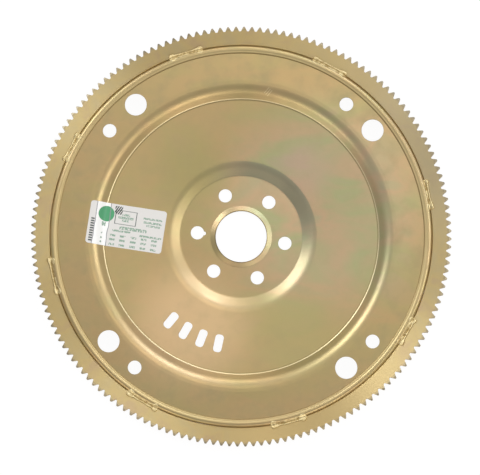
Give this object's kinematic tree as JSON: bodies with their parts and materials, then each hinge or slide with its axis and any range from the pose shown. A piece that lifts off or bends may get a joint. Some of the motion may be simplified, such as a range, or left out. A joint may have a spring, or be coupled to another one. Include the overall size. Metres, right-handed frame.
{
  "type": "flexplate",
  "caption": "Dished steel flexplate with a flat bolted hub, a converter face and a toothed starter ring welded round its rim.",
  "frame": {"origin": "on the axis, in the plane of the hub's rear face, which meets the crankshaft", "axes": "+Z along the axis, from the crankshaft to the torque converter, +Y up as in the picture"},
  "size_m": [0.362, 0.362, 0.0189],
  "materials": {
    "plated_sheet": "yellow chromate over zinc, semi-gloss",
    "plated_gear": "yellow chromate over zinc, semi-gloss",
    "weld_metal": "yellow chromate over zinc, semi-gloss",
    "label_film": "printed film"
  },
  "bodies": {
    "root": {"pressed_plate": "plated_sheet", "ring_gear": "plated_gear", "weld_bead_1": "weld_metal", "weld_bead_2": "weld_metal", "weld_bead_3": "weld_metal", "weld_bead_4": "weld_metal", "weld_bead_5": "weld_metal", "weld_bead_6": "weld_metal", "weld_bead_7": "weld_metal", "weld_bead_8": "weld_metal", "inspection_label": "label_film"}
  },
  "joints": []
}
